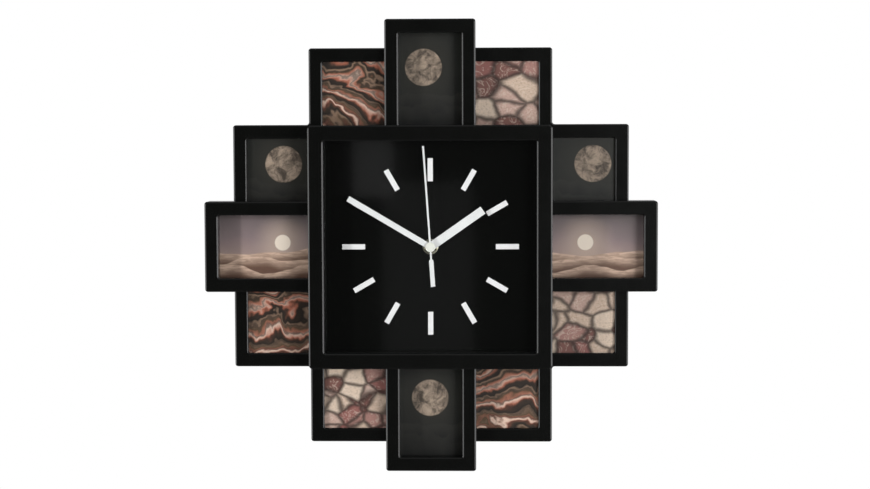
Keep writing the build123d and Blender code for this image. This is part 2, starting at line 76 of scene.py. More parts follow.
# The photograph in pixels: its size, and where the camera's target lies in it
PHOTO_WIDTH = 870
PHOTO_HEIGHT = 489
TARGET_ACROSS = 430.477
TARGET_DOWN = 246.669

# The camera's sensor in millimetres, and the point in metres that camera and lamps aim at
SENSOR_WIDTH = 36.0
TARGET = Vector((0.0, -0.02, 0.0))

# Lamps, and cards that the dial mirrors: place, then width and height, in metres
LAMPS = {
    "key_left": ((-1.92, -1.08, 0.12), (0.16, 1.2)),
    "soft_right": ((1.2, -1.5, 0.12), (0.7, 1.3)),
    "strip_left": ((-1.9, -0.6, 0.0), (1.5, 1.6)),
    "strip_right": ((1.9, -0.6, 0.0), (1.5, 1.6)),
    "card_left": ((-0.145, -1.62, 0.035), (0.07, 0.1)),
    "card_middle": ((-0.05, -1.64, -0.15), (0.16, 0.32)),
}
CARD_TARGET = Vector((-0.05, -0.02, 0.07))

# Frames by kind of picture. A night has its moon's place and a dusk its sun's, across and up from the
# middle. Copper has the slope of its layers, and rose the count of pebbles along a picture unit.
night_frames = {
    "top": (-0.12, 0.22),
    "bottom": (-0.02, 0.22),
    "left_upper": (0.08, 0.1),
    "right_upper": (0.18, 0.1),
}
dusk_frames = {"left": (0.3, 0.06), "right": (-0.2, 0.06)}
copper_frames = {"top_left": (0.5,), "left_lower": (0.1,), "bottom_right": (-0.3,)}
rose_frames = {"top_right": (2.4,), "right_lower": (2.7,), "bottom_left": (3.0,)}
all_frames = (*night_frames, *dusk_frames, *copper_frames, *rose_frames)

# Sizes in the pictures: the unit in metres, and the rest in that unit
PICTURE_UNIT = 0.05
MOON_RADIUS = 0.325
SUN_RADIUS = 0.14
DISC_EDGE = 0.01
RIDGE_FEET = (-0.24, -0.42, -0.58)
RIDGE_EDGE = 0.012
RIDGE_SWING = 0.7
DUNE_FEET = (-0.115, -0.265, -0.415)
DUNE_EDGE = 0.01
DUNE_SWING = 0.45

# Repeats in a picture unit: the paper's tooth, dune ripples along X, Y and Z, rock layers, and the layers'
# seams in radians
PAPER_TOOTH = 160.0
DUNE_RIPPLES = (5.0, 1.0, 26.0)
LAYERS = 2.6
SEAMS = 52.0

# How far the pebbles are squeezed along X, Y and Z
PEBBLE_SQUEEZE = (1.0, 0.0, 1.25)

# Colours of the pictures, in linear light. A ramp gives each colour its place.
NIGHT_TONE = (0.02, 0.02, 0.018)
NIGHT_SKY = (
    (0.0, (0.007, 0.0075, 0.0065)),
    (0.55, (0.0105, 0.0112, 0.0092)),
    (1.0, (0.018, 0.018, 0.0155)),
)
MOON_SEAS = (0.06, 0.044, 0.034)
MOON_PLAINS = (0.42, 0.32, 0.245)
MOON_GLOW = (0.12, 0.1, 0.08)
RIDGE_FOOT = (0.005, 0.0052, 0.0046)
RIDGE_CREST = (0.022, 0.0205, 0.0175)
DUSK_TONE = (0.3, 0.22, 0.19)
DUSK_SKY = (
    (0.0, (0.115, 0.095, 0.095)),
    (0.4, (0.24, 0.18, 0.185)),
    (0.75, (0.42, 0.3, 0.265)),
    (1.0, (0.62, 0.44, 0.34)),
)
SUN_GLOW = (0.72, 0.55, 0.44)
SUN_DISC = (0.86, 0.74, 0.63)
SAND_SHADE = (0.15, 0.08, 0.055)
SAND_LIT = (0.68, 0.48, 0.37)
SAND_RIPPLE = (0.13, 0.07, 0.05)
COPPER_TONE = (0.2, 0.11, 0.08)
COPPER_LAYERS = (
    (0.0, (0.012, 0.009, 0.007)),
    (0.16, (0.05, 0.03, 0.02)),
    (0.3, (0.4, 0.13, 0.08)),
    (0.46, (0.78, 0.58, 0.47)),
    (0.6, (0.42, 0.16, 0.105)),
    (0.74, (0.09, 0.055, 0.03)),
    (0.9, (0.3, 0.19, 0.13)),
    (1.0, (0.014, 0.01, 0.008)),
)
COPPER_SEAM = (0.02, 0.013, 0.01)
ROSE_TONE = (0.4, 0.26, 0.22)
PEBBLES = (
    (0.0, (0.62, 0.46, 0.36)),
    (0.26, (0.3, 0.12, 0.105)),
    (0.44, (0.55, 0.37, 0.31)),
    (0.6, (0.2, 0.085, 0.07)),
    (0.72, (0.7, 0.55, 0.44)),
    (0.88, (0.4, 0.21, 0.18)),
)
PEBBLE_SPECK = (0.16, 0.09, 0.07)
PEBBLE_VEIN = (0.75, 0.62, 0.52)
PEBBLE_GAP = (0.035, 0.02, 0.016)
PAPER_BACK = (0.72, 0.71, 0.67)

# Texture of the finishes: marks in a metre, the same all ways or along X, Y and Z
FLOW_MARKS = 14.0
HANDLING_MARKS = 60.0
LACQUER_RIPPLES = 22.0
DUST_SPECKS = 1400.0
ENAMEL_CLOUDS = 120.0
ENAMEL_PEEL = 900.0
METAL_TARNISH = 90.0
SHEET_SMEARS = 45.0
SLEEVE_SCUFFS = (90.0, 700.0, 700.0)
TURNED_MARKS = (900.0, 900.0, 900.0)
PLATED_MARKS = (700.0, 120.0, 700.0)
ROLLED_MARKS = (200.0, 900.0, 900.0)
WOUND_MARKS = (7000.0, 200.0, 200.0)

# Depth of that texture, in metres
FINE_DEPTH = 0.00001
PAPER_DEPTH = 0.000015
MOULD_DEPTH = 0.00002
ENAMEL_DEPTH = 0.00002
METAL_DEPTH = 0.00002
REAR_DEPTH = 0.00003
RUBBER_DEPTH = 0.00004

# Plain white, with full alpha
WHITE = (1.0, 1.0, 1.0, 1.0)

# Clear sheet: how strongly it mirrors, its mean colour and the light that each face lets through
SHEET_IOR = 1.46
SHEET_TONE = (0.9, 0.92, 0.93)
SHEET_TINT = (0.975, 0.982, 0.98)

# Floor: its mean colour and the two that it clouds between
FLOOR_TONE = (0.8, 0.8, 0.8)
FLOOR_CLOUDS = ((0.78, 0.78, 0.78), (0.82, 0.82, 0.81))

# Shading of meshes: the sharpest edge that is smoothed, how far a bevel's front edge leans to the viewer,
# and how far a front and its bevel face the viewer
CREASE = math.radians(30)
BEVEL_LEAN = 0.4
FRONT_FACING = 0.99
BEVEL_LEAST = 0.5
BEVEL_MOST = 0.9

# Meshes: points nearer than this are one, in metres
SAME_POINT = 0.00001

# Washer, nut and screws: shares of their own radius, height or thickness, and the nut's chamfer
WASHER_BORE = 0.63
WASHER_RIM = 0.4
NUT_BORE = 0.81
NUT_RIM = 0.16
NUT_LAND = 0.97
NUT_CHAMFER = math.radians(30)
SCREW_LAND = 0.62
SLOT_LENGTH = 0.5
SLOT_WIDTH = 0.12
SLOT_TAPER = 0.72
SLOT_FLOOR = 0.35

# Screws: radians of turn for each metre across and up, so that no two stop alike
SCREW_TURNS = (7.0, 3.0)

# Battery: the rolled ends as a share of the radius, the band's edge and the line before it along X in metres,
# and how soft the print is there
BATTERY_ROLL = 0.09
BAND_EDGE = 0.015
BAND_BLUR = 0.0002
LINE_START = 0.0137
LINE_END = 0.0143
LINE_BLUR = 0.0001

# Marks on the movement: where the arrows start and how far they sweep, the length of their heads, the
# heads' spread as a share of the width, and the signs' places from the cover's edges in metres
ARROW_STARTS = (math.radians(20), math.radians(200))
ARROW_SWEEP = math.radians(140)
ARROW_HEAD = math.radians(24)
ARROW_BARB = 2.4
SIGN_INSET = 0.006
SIGN_RISE = 0.005

# Straight steps along an arrow
ARROW_STEPS = 16

# Ejector marks on the tray, in metres: their places, the dish in the middle and the lip round it
PIN_COLUMNS = (-0.072, -0.036, 0.036, 0.072)
PIN_ROWS = (-0.078, -0.044, 0.044, 0.078)
PIN_DISH = 0.00008
PIN_LIP = 0.0002

# Turns that point a piece's Z to the viewer, to the wall or to the right
FACINGS = {
    "viewer": Matrix.Rotation(math.pi / 2, 4, "X"),
    "wall": Matrix.Rotation(-math.pi / 2, 4, "X"),
    "right": Matrix.Rotation(math.pi / 2, 4, "Y"),
}


def colour_property(name, description, default):
    """A colour setting, in linear light."""
    return FloatVectorProperty(
        name=name, description=description, subtype="COLOR", size=3, min=0.0, max=1.0, default=default
    )


def share_property(name, description, default):
    """A setting between none and all."""
    return FloatProperty(
        name=name, description=description, subtype="FACTOR", min=0.0, max=1.0, default=default
    )


def length_property(name, description, default):
    """A length in metres."""
    return FloatProperty(
        name=name, description=description, subtype="DISTANCE", unit="LENGTH", precision=5, default=default
    )


def angle_property(name, description, degrees):
    """An angle, whose default is given in degrees."""
    return FloatProperty(
        name=name, description=description, subtype="ANGLE", unit="ROTATION", default=math.radians(degrees)
    )


def power_property(name, description, default):
    """A lamp's power in watts."""
    return FloatProperty(name=name, description=description, unit="POWER", precision=4, default=default)


class ClockFinishes(bpy.types.PropertyGroup):
    """Colours and gloss of the clock's surfaces."""

    moulding: colour_property("Moulding", "Black plastic of frames and bezel", (0.0019, 0.0021, 0.0018))
    moulding_roughness: share_property("Moulding roughness", "How dull the black plastic is", 0.22)
    rear: colour_property("Rear", "Black plastic of tray and picture backs", (0.004, 0.0042, 0.004))
    rear_roughness: share_property("Rear roughness", "How dull the rear plastic is", 0.42)
    dial: colour_property("Dial", "Gloss black of the dial", (0.0024, 0.0026, 0.0023))
    dial_roughness: share_property("Dial roughness", "How dull the dial is", 0.08)
    marker: colour_property("Markers", "White of the hour markers", (0.91, 0.889, 0.895))
    white: colour_property("Hands", "White enamel of the hands", (0.851, 0.846, 0.846))
    cap: colour_property("Cap", "Cream of the cap on the hub", (0.83, 0.82, 0.75))
    # The nut's brass is darker than the washer's brass: painted shade for the shadow of the hands over the
    # nut
    brass: colour_property("Brass", "Dull brass of the nut", (0.42, 0.38, 0.26))
    washer: colour_property("Washer", "Satin brass of the nut's washer", (0.66, 0.63, 0.5))
    steel: colour_property("Steel", "Zinc plated screws and nickel plated contacts", (0.56, 0.56, 0.55))
    rubber: colour_property("Rubber", "Gasket behind the dial", (0.02, 0.02, 0.02))
    movement: colour_property("Movement", "Black plastic of the movement", (0.014, 0.014, 0.015))
    ivory: colour_property("Ivory", "Moulded gear wheels", (0.72, 0.66, 0.5))
    sleeve: colour_property("Battery sleeve", "Plain wrapper of the battery", (0.014, 0.05, 0.036))
    band: colour_property("Battery band", "Band round the battery's raised end", (0.3, 0.21, 0.09))
    board: colour_property("Board", "Resin of the circuit board", (0.16, 0.09, 0.03))
    copper: colour_property("Copper", "Enamelled wire of the coil", (0.62, 0.24, 0.09))


class ClockSizes(bpy.types.PropertyGroup):
    """Sizes of the modelled detail."""

    grain: length_property("Mould grain", "Size of the fine texture on the mouldings", 0.0007)
    gear_grain: length_property("Gear grain", "Size of the fine texture on the gears", 0.0004)
    rubber_grain: length_property("Rubber grain", "Size of the fine texture on the gasket", 0.0005)
    board_grain: length_property("Board grain", "Size of the fine texture on the board", 0.0006)
    cap_radius: length_property("Cap radius", "Radius of the cap on the hub", 0.0044)
    cap_height: length_property("Cap height", "Height of the cap on the hub", 0.0009)
    screw_radius: length_property("Screw head radius", "Radius of a screw's head", 0.0028)
    screw_height: length_property("Screw head height", "Height of a screw's head", 0.0016)
    shank_radius: length_property("Screw shank radius", "Radius of a screw's shank", 0.0014)
    nub_height: length_property("Battery nub", "Height of the battery's raised cap", 0.0013)
    mark_height: length_property("Mark height", "How far the movement's marks stand out", 0.00025)
    sign_length: length_property("Sign length", "Half the length of the battery's signs", 0.0018)
    sign_width: length_property("Sign width", "Half the width of the signs' bars", 0.0004)
    arrow_radius: length_property("Arrow radius", "Radius of the arrows round the knob", 0.0072)
    arrow_width: length_property("Arrow width", "Half the width of the arrows", 0.0005)
    pin_radius: length_property("Ejector radius", "Radius of an ejector mark", 0.003)


class ClockStage(bpy.types.PropertyGroup):
    """Camera and studio."""

    distance: length_property("Camera distance", "From the target to the camera", 1.6)
    azimuth: angle_property("Azimuth", "Camera's turn to the right", 1.64)
    elevation: angle_property("Elevation", "Camera's height over the target", 3.729)
    roll: angle_property("Roll", "Camera's roll", -0.19)
    focal: FloatProperty(name="Focal length", description="Camera's lens", unit="CAMERA", default=75.03)
    key_power: power_property("Key lamp", "Power of the lamp on the left", 30.0)
    soft_power: power_property("Soft lamp", "Power of the lamp on the right", 22.5)
    strip_power: power_property("Side lamps", "Power of the lamp at each side", 21.0)
    card_power: power_property("Small card", "Power of the small card that the dial mirrors", 0.0043)
    panel_power: power_property("Tall card", "Power of the tall card that the dial mirrors", 0.012)
    room_light: share_property("Room light", "Light of the dim room in front", 0.025)
    floor_drop: length_property("Floor drop", "How far the floor lies below the clock's axis", 1.5)
    floor_radius: length_property("Floor radius", "Radius of the floor", 1.6)
    floor_glow: share_property("Floor glow", "How white the camera sees the floor", 0.8)


class Wire:
    """An output socket in a node tree. Plain maths on it adds Math nodes; node() adds any other node."""

    def __init__(self, tree, socket=None):
        self.tree = tree
        self.socket = socket

    def node(self, kind, settings=None, inputs=None, output=0):
        """Adds a node: its settings first, then the values or links of its sockets."""
        made = self.tree.nodes.new("ShaderNode" + kind)
        for name, value in (settings or {}).items():
            if name == "stops":
                fill_ramp(made.color_ramp, *value)
            else:
                setattr(made, name, value)
        for name, value in (inputs or {}).items():
            if isinstance(value, Wire):
                self.tree.links.new(value.socket, made.inputs[name])
            else:
                made.inputs[name].default_value = value
        return Wire(self.tree, made.outputs[output] if made.outputs else None)

    def out(self, name):
        """Another output of the same node."""
        return Wire(self.tree, self.socket.node.outputs[name])

    def math(self, operation, *terms):
        """A Math node on these terms."""
        return self.node("Math", {"operation": operation}, dict(enumerate(terms)))

    def __add__(self, other):
        return self.math("ADD", self, other)

    __radd__ = __add__

    def __sub__(self, other):
        return self.math("SUBTRACT", self, other)

    def __rsub__(self, other):
        return self.math("SUBTRACT", other, self)

    def __mul__(self, other):
        return self.math("MULTIPLY", self, other)

    __rmul__ = __mul__

    def power(self, exponent):
        return self.math("POWER", self, exponent)

    def sine(self):
        return self.math("SINE", self)

    def fraction(self):
        return self.math("FRACT", self)

    def highest(self, other):
        return self.math("MAXIMUM", self, other)

    def swing(self, size):
        """Turns 0 to 1 into a swing of this size about zero."""
        return (self - 0.5) * size

    def rise(self, low, high, start=0.0, end=1.0):
        """A smooth step from start to end as the value goes from low to high."""
        return self.node(
            "MapRange",
            {"interpolation_type": "SMOOTHSTEP"},
            {"Value": self, "From Min": low, "From Max": high, "To Min": start, "To Max": end},
        )

    def past(self, edge, blur):
        """1 where the value is past an edge and 0 before it, with a soft change between."""
        return self.rise(edge - blur, edge + blur)

    def before(self, edge, blur):
        """1 where the value is before an edge and 0 past it, with a soft change between."""
        return self.rise(edge + blur, edge - blur)

    def mix(self, none, full):
        """Mixes two colours by this value."""
        colours = {0: self, 6: rgba(none), 7: rgba(full)}
        return self.node("Mix", {"data_type": "RGBA"}, colours, 2)

    def ramp(self, stops, interpolation="LINEAR"):
        """A colour for each value from 0 to 1."""
        return self.node("ValToRGB", {"stops": (stops, interpolation)}, {"Fac": self})

    def axes(self):
        """The X, Y and Z of a vector."""
        parts = self.node("SeparateXYZ", None, {"Vector": self})
        return parts, parts.out("Y"), parts.out("Z")

    def vector(self, operation, *terms):
        """A Vector Math node on this vector and other terms."""
        return self.node("VectorMath", {"operation": operation}, dict(enumerate((self,) + terms)))

    def scaled(self, factor):
        return self.node("VectorMath", {"operation": "SCALE"}, {0: self, "Scale": factor})

    def noise(self, scale, detail=3.0, roughness=0.5, distortion=0.0, output=0):
        """Soft noise of this vector, from 0 to 1."""
        sockets = {"Vector": self, "Scale": scale, "Detail": detail}
        sockets.update({"Roughness": roughness, "Distortion": distortion})
        return self.node("TexNoise", None, sockets, output)

    def bump(self, distance):
        """A normal that follows this value as a height."""
        return self.node("Bump", None, {"Strength": 1.0, "Distance": distance, "Height": self})


def fill_ramp(ramp, stops, interpolation):
    """Sets a colour ramp's stops, each a place and a colour, and the way between them."""
    ramp.interpolation = interpolation
    while len(ramp.elements) < len(stops):
        ramp.elements.new(1.0)
    for element, (place, colour) in zip(ramp.elements, stops):
        element.position = place
        element.color = rgba(colour)


def rgba(colour):
    """A colour with full alpha; a wire stays as it is."""
    if isinstance(colour, Wire):
        return colour
    return (colour[0], colour[1], colour[2], 1.0)


def shaded(colour, factor):
    """A colour made lighter or darker."""
    return tuple(min(1.0, channel * factor) for channel in colour)


def new_material(name, colour):
    """An empty node material, and the place on the clock in metres that its nodes start from."""
    material = bpy.data.materials.new(name)
    material.use_nodes = True
    material.diffuse_color = rgba(colour)
    material.node_tree.nodes.clear()
    return material, Wire(material.node_tree).node("TexCoord", None, None, "Object")


def close_material(surface):
    """Links a shader to its material's output."""
    surface.node("OutputMaterial", None, {"Surface": surface})


def close_surface(tone, roughness, normal, metallic=0.0):
    """Ends a material in one opaque shader."""
    sockets = {"Base Color": tone, "Metallic": metallic, "Roughness": roughness, "Normal": normal}
    close_material(tone.node("BsdfPrincipled", None, sockets))


def moulded_plastic(name, colour, roughness, grain, depth):
    """Injection moulded plastic: fine mould texture, faint flow marks and uneven gloss."""
    material, place = new_material(name, colour)
    fine = place.noise(1 / grain, detail=4.0, roughness=0.6)
    flow = place.noise(FLOW_MARKS, roughness=0.55, distortion=0.6)
    handled = place.noise(HANDLING_MARKS, detail=5.0, roughness=0.65)
    tone = flow.rise(0.3, 0.7).mix(shaded(colour, 0.86), shaded(colour, 1.12))
    gloss = roughness + fine.swing(0.06) + handled.swing(0.1)
    close_surface(tone, gloss, (fine + flow * 0.4).bump(depth))
    return material


def gloss_lacquer(name, colour, roughness):
    """Smooth sheet with a hard gloss and a trace of fine dust."""
    material, place = new_material(name, colour)
    ripple = place.noise(LACQUER_RIPPLES, detail=2.0)
    dust = place.noise(DUST_SPECKS, detail=2.0, roughness=0.7).rise(0.7, 0.8)
    tone = (dust * 0.5).mix(colour, shaded(colour, 4.0))
    close_surface(tone, roughness + dust * 0.3, ripple.bump(FINE_DEPTH))
    return material


def white_enamel(name, colour, roughness):
    """White paint with a slight gloss and a faint mottle."""
    material, place = new_material(name, colour)
    cloud = place.noise(ENAMEL_CLOUDS)
    peel = place.noise(ENAMEL_PEEL)
    tone = cloud.rise(0.3, 0.7).mix(shaded(colour, 0.96), shaded(colour, 1.02))
    close_surface(tone, roughness + peel.swing(0.16), peel.bump(ENAMEL_DEPTH))
    return material


def bare_metal(name, colour, roughness, tool_marks):
    """Metal with fine tool marks and dull patches."""
    material, place = new_material(name, colour)
    marks = place.vector("MULTIPLY", tool_marks).noise(1.0, detail=4.0, roughness=0.6)
    dull = place.noise(METAL_TARNISH, detail=4.0, roughness=0.6)
    tone = dull.rise(0.35, 0.75).mix(colour, shaded(colour, 0.72))
    close_surface(tone, roughness + marks.swing(0.2), marks.bump(METAL_DEPTH), metallic=1.0)
    return material


def battery_sleeve(name, colour, band):
    """Plain shrunk wrapper with a metallic band at one end, a fine line before it and light scuffs."""
    material, place = new_material(name, colour)
    along, _, _ = place.axes()
    scuff = place.vector("MULTIPLY", SLEEVE_SCUFFS).noise(1.0, detail=4.0, roughness=0.6)
    banded = along.past(BAND_EDGE, BAND_BLUR)
    line = along.past(LINE_START, LINE_BLUR) - along.past(LINE_END, LINE_BLUR)
    tone = banded.mix(colour, band)
    tone = line.mix(tone, shaded(band, 1.5))
    tone = scuff.rise(0.62, 0.78, 0.0, 0.35).mix(tone, shaded(band, 1.2))
    metal = banded.highest(line) * 0.7
    close_surface(tone, 0.24 + scuff * 0.2, scuff.bump(FINE_DEPTH), metal)
    return material


def clear_sheet(name):
    """Clear polished sheet: what is behind shows through, and its faces mirror the light at an angle."""
    material, place = new_material(name, SHEET_TONE)
    smear = place.noise(SHEET_SMEARS, detail=4.0, roughness=0.6)
    film = place.node("BsdfTransparent", None, {"Color": rgba(SHEET_TINT)})
    polish = {"Base Color": WHITE, "Metallic": 1.0, "Roughness": 0.03 + smear * 0.03}
    mirror = place.node("BsdfPrincipled", None, polish)
    inside = place.node("NewGeometry", None, None, "Backfacing")
    share = place.node("Fresnel", None, {"IOR": SHEET_IOR}) * (1.0 - inside)
    close_material(place.node("MixShader", None, {"Fac": share, 1: film, 2: mirror}))
    return material


def new_picture(node_name, colour, seed):
    """A picture's material, and the place from its middle in its units: plain, seeded, across and up."""
    material, place = new_material(node_name, colour)
    low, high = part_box(node_name)
    place = place.vector("SUBTRACT", (low + high) / 2).scaled(1 / PICTURE_UNIT)
    moved = place.vector("ADD", (seed, seed, seed))
    across, _, up = place.axes()
    return material, place, moved, across, up


def photo_paper(tone, place):
    """Semi-gloss photo paper, printed on its front and plain on its back."""
    tooth = place.noise(PAPER_TOOTH, roughness=0.6)
    _, depth, _ = place.axes()
    tone = depth.past(0.0, 0.001).mix(tone, PAPER_BACK)
    close_surface(tone, 0.4 + tooth * 0.15, tooth.bump(PAPER_DEPTH))


def distance_from(across, up, middle_across, middle_up):
    """Distance on a picture from a point."""
    return ((across - middle_across).power(2.0) + (up - middle_up).power(2.0)).power(0.5)


def skyline(moved, shift, scale, detail, roughness):
    """An uneven line across a picture, from 0 to 1; each shift gives another one."""
    line = moved.vector("MULTIPLY", (1.0, 0.0, 0.0)).vector("ADD", (0.0, shift, 0.0))
    return line.noise(scale, detail, roughness)


def night_picture(node_name, seed, moon_across, moon_up):
    """A pale moon over dark ridges."""
    material, place, moved, across, up = new_picture(node_name, NIGHT_TONE, seed)
    haze = moved.noise(1.1)
    tone = (haze * 0.6 + up * 0.2 + 0.2).ramp(NIGHT_SKY)
    reach = distance_from(across, up, moon_across, moon_up)
    seas = moved.noise(6.0, detail=6.0, roughness=0.7, distortion=0.5)
    disc = seas.rise(0.34, 0.68).mix(MOON_SEAS, MOON_PLAINS)
    tone = reach.rise(0.3, 0.8, 0.1, 0.0).mix(tone, MOON_GLOW)
    tone = reach.before(MOON_RADIUS, DISC_EDGE).mix(tone, disc)
    for index, foot in enumerate(RIDGE_FEET):
        crest = skyline(moved, 3.0 * index, 1.5 + index, 4.0, 0.5).swing(RIDGE_SWING) + foot
        above = up - crest
        near = 1.0 - 0.26 * index
        ridge = above.rise(-0.3, 0.0).mix(shaded(RIDGE_FOOT, near), shaded(RIDGE_CREST, near))
        tone = above.before(0.0, RIDGE_EDGE).mix(tone, ridge)
    photo_paper(tone, place)
    return material


def dusk_picture(node_name, seed, sun_across, sun_up):
    """Dunes under a hazy evening sky."""
    material, place, moved, across, up = new_picture(node_name, DUSK_TONE, seed)
    haze = moved.noise(0.9, distortion=0.3)
    sky = (0.5 - up * 0.8 + haze.swing(0.5)).ramp(DUSK_SKY)
    reach = distance_from(across, up, sun_across, sun_up)
    sky = reach.rise(0.1, 0.6, 0.42, 0.0).mix(sky, SUN_GLOW)
    tone = reach.before(SUN_RADIUS, DISC_EDGE).mix(sky, SUN_DISC)
    ripple = moved.vector("MULTIPLY", DUNE_RIPPLES).noise(1.0, detail=2.0, distortion=0.6).rise(0.35, 0.65)
    for index, foot in enumerate(DUNE_FEET):
        crest = skyline(moved, 5.0 * index, 0.8 + 0.3 * index, 2.0, 0.4).swing(DUNE_SWING) + foot
        above = up - crest
        sand = above.rise(-0.2, 0.0).mix(SAND_SHADE, SAND_LIT)
        sand = (ripple * 0.4).mix(sand, SAND_RIPPLE)
        tone = above.before(0.0, DUNE_EDGE).mix(tone, sand)
    photo_paper(tone, place)
    return material


def copper_picture(node_name, seed, slope):
    """Wavy layers of banded rock."""
    material, place, moved, across, up = new_picture(node_name, COPPER_TONE, seed)
    fold = moved.noise(1.4, distortion=0.5)
    fine = moved.noise(7.0, detail=4.0, roughness=0.6)
    depth = up + across * slope + fold * 1.3 + fine * 0.06
    tone = (depth * LAYERS).fraction().ramp(COPPER_LAYERS)
    seam = ((depth * SEAMS + fine * 5.0).sine() * 0.5 + 0.5).power(1.4)
    tone = (seam * 0.72).mix(tone, COPPER_SEAM)
    photo_paper(tone, place)
    return material


def rose_picture(node_name, seed, count):
    """Rounded pebbles, close together."""
    material, place, moved, _, _ = new_picture(node_name, ROSE_TONE, seed)
    moved = moved.vector("MULTIPLY", PEBBLE_SQUEEZE)
    bend = moved.noise(2.0, detail=2.0, output="Color").scaled(0.25)
    stones = {"Vector": moved.vector("ADD", bend), "Scale": count, "Randomness": 0.85}
    pick, _, _ = place.node("TexVoronoi", {"feature": "F1"}, stones, "Color").axes()
    gap = place.node("TexVoronoi", {"feature": "DISTANCE_TO_EDGE"}, stones)
    speck = moved.noise(26.0, detail=4.0, roughness=0.6)
    vein = (moved.noise(4.0, distortion=1.5) * 34.0).sine().rise(0.55, 0.95)
    tone = pick.ramp(PEBBLES, "CONSTANT")
    tone = (speck.rise(0.45, 0.7) * 0.35).mix(tone, PEBBLE_SPECK)
    tone = (vein * 0.4).mix(tone, PEBBLE_VEIN)
    tone = gap.rise(0.0, 0.2, 0.85, 0.0).mix(tone, PEBBLE_GAP)
    photo_paper(tone, place)
    return material


def dress(material, *node_names):
    """Gives CAD pieces a material in every slot."""
    for node_name in node_names:
        mesh = nodes[node_name].data
        if not mesh.materials:
            mesh.materials.append(material)
        for index in range(len(mesh.materials)):
            mesh.materials[index] = material


def print_pictures(picture, designs, first_seed, seed_step):
    """Prints one kind of picture in its frames, each from its own seed."""
    for index, (name, design) in enumerate(designs.items()):
        node_name = "print_" + name
        dress(picture(node_name, first_seed + seed_step * index, *design), node_name)


def placed(across, depth, up, facing):
    """A place on the clock in metres, with Z turned to a facing."""
    return Matrix.Translation((across, depth, up)) @ FACINGS[facing]


def polar(radius, angle):
    """A point at a distance and an angle from the middle."""
    return (math.cos(angle) * radius, math.sin(angle) * radius)


def add_turned(shape, profile, place, segments=48, material_index=0):
    """Adds a turned form: a profile of radii and heights, spun about Z and put in its place."""
    points = [shape.verts.new((radius, 0.0, height)) for radius, height in profile]
    lines = [shape.edges.new(pair) for pair in zip(points, points[1:])]
    older = set(shape.verts) - set(points)
    bmesh.ops.spin(
        shape,
        geom=points + lines,
        axis=(0.0, 0.0, 1.0),
        cent=(0.0, 0.0, 0.0),
        angle=2 * math.pi,
        steps=segments,
        use_merge=True,
    )
    made = [vertex for vertex in shape.verts if vertex not in older]
    bmesh.ops.remove_doubles(shape, verts=made, dist=SAME_POINT)
    made = [vertex for vertex in shape.verts if vertex not in older]
    for face in {face for vertex in made for face in vertex.link_faces}:
        face.material_index = material_index
    bmesh.ops.transform(shape, matrix=place, verts=made)
    return made


def add_plate(shape, outline, place, height):
    """Adds a flat raised mark: an outline across and up, put in its place and drawn out to a height."""
    corners = [shape.verts.new(place @ Vector((across, up, 0.0))) for across, up in outline]
    foot = shape.faces.new(corners)
    risen = bmesh.ops.extrude_face_region(shape, geom=[foot], use_keep_orig=True)["geom"]
    top = [item for item in risen if isinstance(item, bmesh.types.BMVert)]
    rise = place.to_3x3() @ Vector((0.0, 0.0, height))
    bmesh.ops.translate(shape, vec=rise, verts=top)


def link_piece(shape, piece_name, materials, body, slot_name, replaced=()):
    """Makes a mesh into a smooth piece with crisp edges that rides on a body and stands for CAD pieces."""
    for face in shape.faces:
        face.smooth = True
    for edge in shape.edges:
        edge.smooth = edge.calc_face_angle(math.pi) < CREASE
    mesh = bpy.data.meshes.new(piece_name)
    shape.to_mesh(mesh)
    shape.free()
    for material in materials:
        mesh.materials.append(material)
    piece = bpy.data.objects.new(piece_name, mesh)
    bpy.context.scene.collection.objects.link(piece)
    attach(piece, body)
    if replaced:
        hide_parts(*replaced)
    return piece


def sort_mesh(shape):
    """Sorts points and faces by their place, so that every run gives them in the same order."""
    points = sorted(shape.verts, key=lambda point: point.co[:])
    faces = sorted(shape.faces, key=lambda face: face.calc_center_median()[:])
    for items in (points, faces):
        for index, item in enumerate(items):
            item.index = index
    shape.verts.sort()
    shape.faces.sort()


def link_solid(shape, *piece_facts):
    """Turns a closed mesh's faces outwards, sorts it and makes it into a piece."""
    bmesh.ops.recalc_face_normals(shape, faces=shape.faces)
    sort_mesh(shape)
    link_piece(shape, *piece_facts)


def rounded_copy(node_name, piece_name, material, slot_name):
    """A copy of a moulding with smooth corners and crisp bevels, which stands for the moulding."""
    shape = bmesh.new()
    shape.from_mesh(nodes[node_name].data)
    bmesh.ops.remove_doubles(shape, verts=shape.verts, dist=SAME_POINT)
    piece = link_piece(shape, piece_name, [material], nodes[node_name]["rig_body"], slot_name, [node_name])
    normals = piece.modifiers.new("Even faces", "WEIGHTED_NORMAL")
    normals.mode = "FACE_AREA"
    normals.weight = 100
    normals.keep_sharp = True
    lean_bevels(piece)


def lean_bevels(piece):
    """Turns the normals on a bevel's front edge towards the viewer, so that the bevel looks eased."""
    graph = bpy.context.evaluated_depsgraph_get()
    even = bpy.data.meshes.new_from_object(piece.evaluated_get(graph))
    viewer = Vector((0.0, -1.0, 0.0))
    fronts = [face for face in even.polygons if face.normal.dot(viewer) > FRONT_FACING]
    on_front = {vertex for face in fronts for vertex in face.vertices}
    normals = [corner.vector.copy() for corner in even.corner_normals]
    for face in even.polygons:
        if BEVEL_LEAST < face.normal.dot(viewer) < BEVEL_MOST:
            for corner, vertex in zip(face.loop_indices, face.vertices):
                if vertex in on_front:
                    normals[corner] = normals[corner].lerp(viewer, BEVEL_LEAN).normalized()
    bpy.data.meshes.remove(even)
    piece.modifiers.clear()
    piece.data.normals_split_custom_set(normals)


